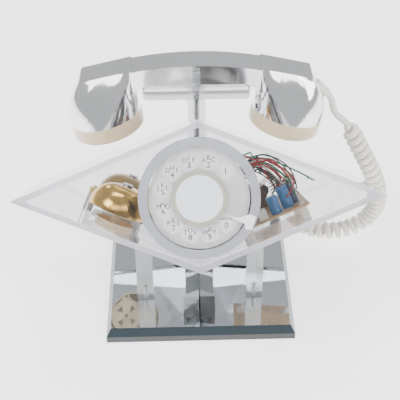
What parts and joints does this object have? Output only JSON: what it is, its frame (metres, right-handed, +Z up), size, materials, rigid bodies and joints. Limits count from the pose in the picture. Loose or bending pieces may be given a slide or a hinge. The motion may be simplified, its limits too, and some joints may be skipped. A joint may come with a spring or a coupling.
{
  "type": "novelty telephone",
  "caption": "Clear acrylic desk telephone with a diamond-section body on a mirrored base, a chromed handset on a cradle, a rotary dial, a bell ringer and a coiled handset cord",
  "frame": {"origin": "centre of the base's underside", "axes": "+Z up; -Y toward the person using the dial; +X to that person's right"},
  "size_m": [0.3237, 0.2355, 0.2134],
  "materials": {
    "black_acrylic": "polished black acrylic",
    "mirror": "silvered plate with a bevelled edge",
    "steel": "plain bright steel",
    "clear_acrylic": "clear polished acrylic sheet",
    "dark_rubber": "smooth dark rubber",
    "ivory_plastic": "moulded ivory plastic",
    "black_plastic": "moulded black plastic",
    "chrome": "chrome plating",
    "cream_plastic": "aged cream plastic",
    "aluminium": "plain aluminium",
    "cord_white": "off-white cord jacket",
    "dial_ring_acrylic": "grey translucent acrylic",
    "brass": "plain brass",
    "number_white": "white plastic with black lettering",
    "wheel_clear": "clear moulded plastic",
    "card": "plain number card under a clear disc",
    "taupe_plastic": "taupe plastic ring",
    "coil_tape": "taped winding",
    "gong_brass": "tarnished brass",
    "board": "tan circuit board",
    "capacitor_blue": "blue sleeve",
    "capacitor_dark": "dark blue sleeve",
    "wire_red": "red insulation",
    "wire_green": "green insulation"
  },
  "bodies": {
    "telephone": {"base_slab": "black_acrylic", "mirror_plate": "mirror", "base_screws": "steel", "post_left": "clear_acrylic", "post_right": "clear_acrylic", "rear_block": "clear_acrylic", "sheet_upper_right": "clear_acrylic", "sheet_lower_right": "clear_acrylic", "sheet_lower_left": "clear_acrylic", "sheet_upper_left": "clear_acrylic", "front_panel": "clear_acrylic", "back_panel": "clear_acrylic", "cord_grommet": "dark_rubber", "line_jack": "ivory_plastic", "column": "clear_acrylic", "cradle_bar": "clear_acrylic", "cradle_prongs": "black_plastic", "hook_switch": "black_plastic", "plunger_spring": "steel", "dial_ring": "dial_ring_acrylic", "dial_case": "brass", "number_plate": "number_white", "finger_stop": "number_white", "dial_bridge": "steel", "return_spring": "steel", "pulse_contacts": "black_plastic", "ringer_frame": "steel", "ringer_coil": "coil_tape", "clapper_pivot": "steel", "gong_bases": "cream_plastic", "gong_front": "gong_brass", "gong_rear": "gong_brass", "gong_screws": "steel", "network_board": "board", "board_spacers": "ivory_plastic", "board_screws": "steel", "capacitors_blue": "capacitor_blue", "capacitors_dark": "capacitor_dark", "induction_coil": "coil_tape", "terminal_blocks": "ivory_plastic", "wires_red": "wire_red", "wires_green": "wire_green", "wires_dark": "dark_rubber", "handset_cord_lead": "cord_white", "handset_cord_coil": "cord_white", "handset_cord_tail": "cord_white"},
    "handset": {"handset_shell": "chrome", "receiver_cap": "cream_plastic", "mouthpiece_cap": "cream_plastic", "handset_capsules": "aluminium", "cord_gland": "cord_white"},
    "plunger": {"hook_plunger": "black_plastic"},
    "dial": {"finger_wheel": "wheel_clear", "dial_card": "card", "card_ring": "taupe_plastic", "dial_shaft": "steel", "main_gear": "brass"},
    "pulse_wheel": {"pulse_gear": "brass"},
    "governor_wheel": {"governor": "steel"},
    "ringer_clapper": {"clapper": "brass"}
  },
  "joints": [
    {"name": "handset_lift", "type": "slide", "parent": "telephone", "child": "handset", "axis": [0, 0.1132, 0.9936], "range_m": [0, 0.08]},
    {"name": "plunger_rise", "type": "slide", "parent": "telephone", "child": "plunger", "axis": [0, 0.1132, 0.9936], "range_m": [0, 0.004]},
    {"name": "dial_spin", "type": "hinge", "parent": "telephone", "child": "dial", "pos_m": [0, -0.07779, 0.16043], "axis": [0, 0.8348, -0.5505], "range_deg": [0, 335], "stiffness_Nm_per_rad": 0.01, "springref_deg": -34.38},
    {"name": "pulse_spin", "type": "hinge", "parent": "telephone", "child": "pulse_wheel", "pos_m": [0, -0.06452, 0.18055], "axis": [0, 0.8348, -0.5505], "range_deg": [-1675, 0]},
    {"name": "governor_spin", "type": "hinge", "parent": "telephone", "child": "governor_wheel", "pos_m": [0.01137, -0.0668, 0.1771], "axis": [0, 0.8348, -0.5505], "range_deg": [0, 5025]},
    {"name": "clapper_swing", "type": "hinge", "parent": "telephone", "child": "ringer_clapper", "pos_m": [-0.09401, -0.02824, 0.10841], "axis": [0.3747, 0.5104, 0.774], "range_deg": [-22, 22], "stiffness_Nm_per_rad": 0.01}
  ],
  "couplings": [
    {"joint": "plunger_rise", "follows": "handset_lift", "ratio": 0.05},
    {"joint": "pulse_spin", "follows": "dial_spin", "ratio": -5},
    {"joint": "governor_spin", "follows": "dial_spin", "ratio": 15}
  ]
}
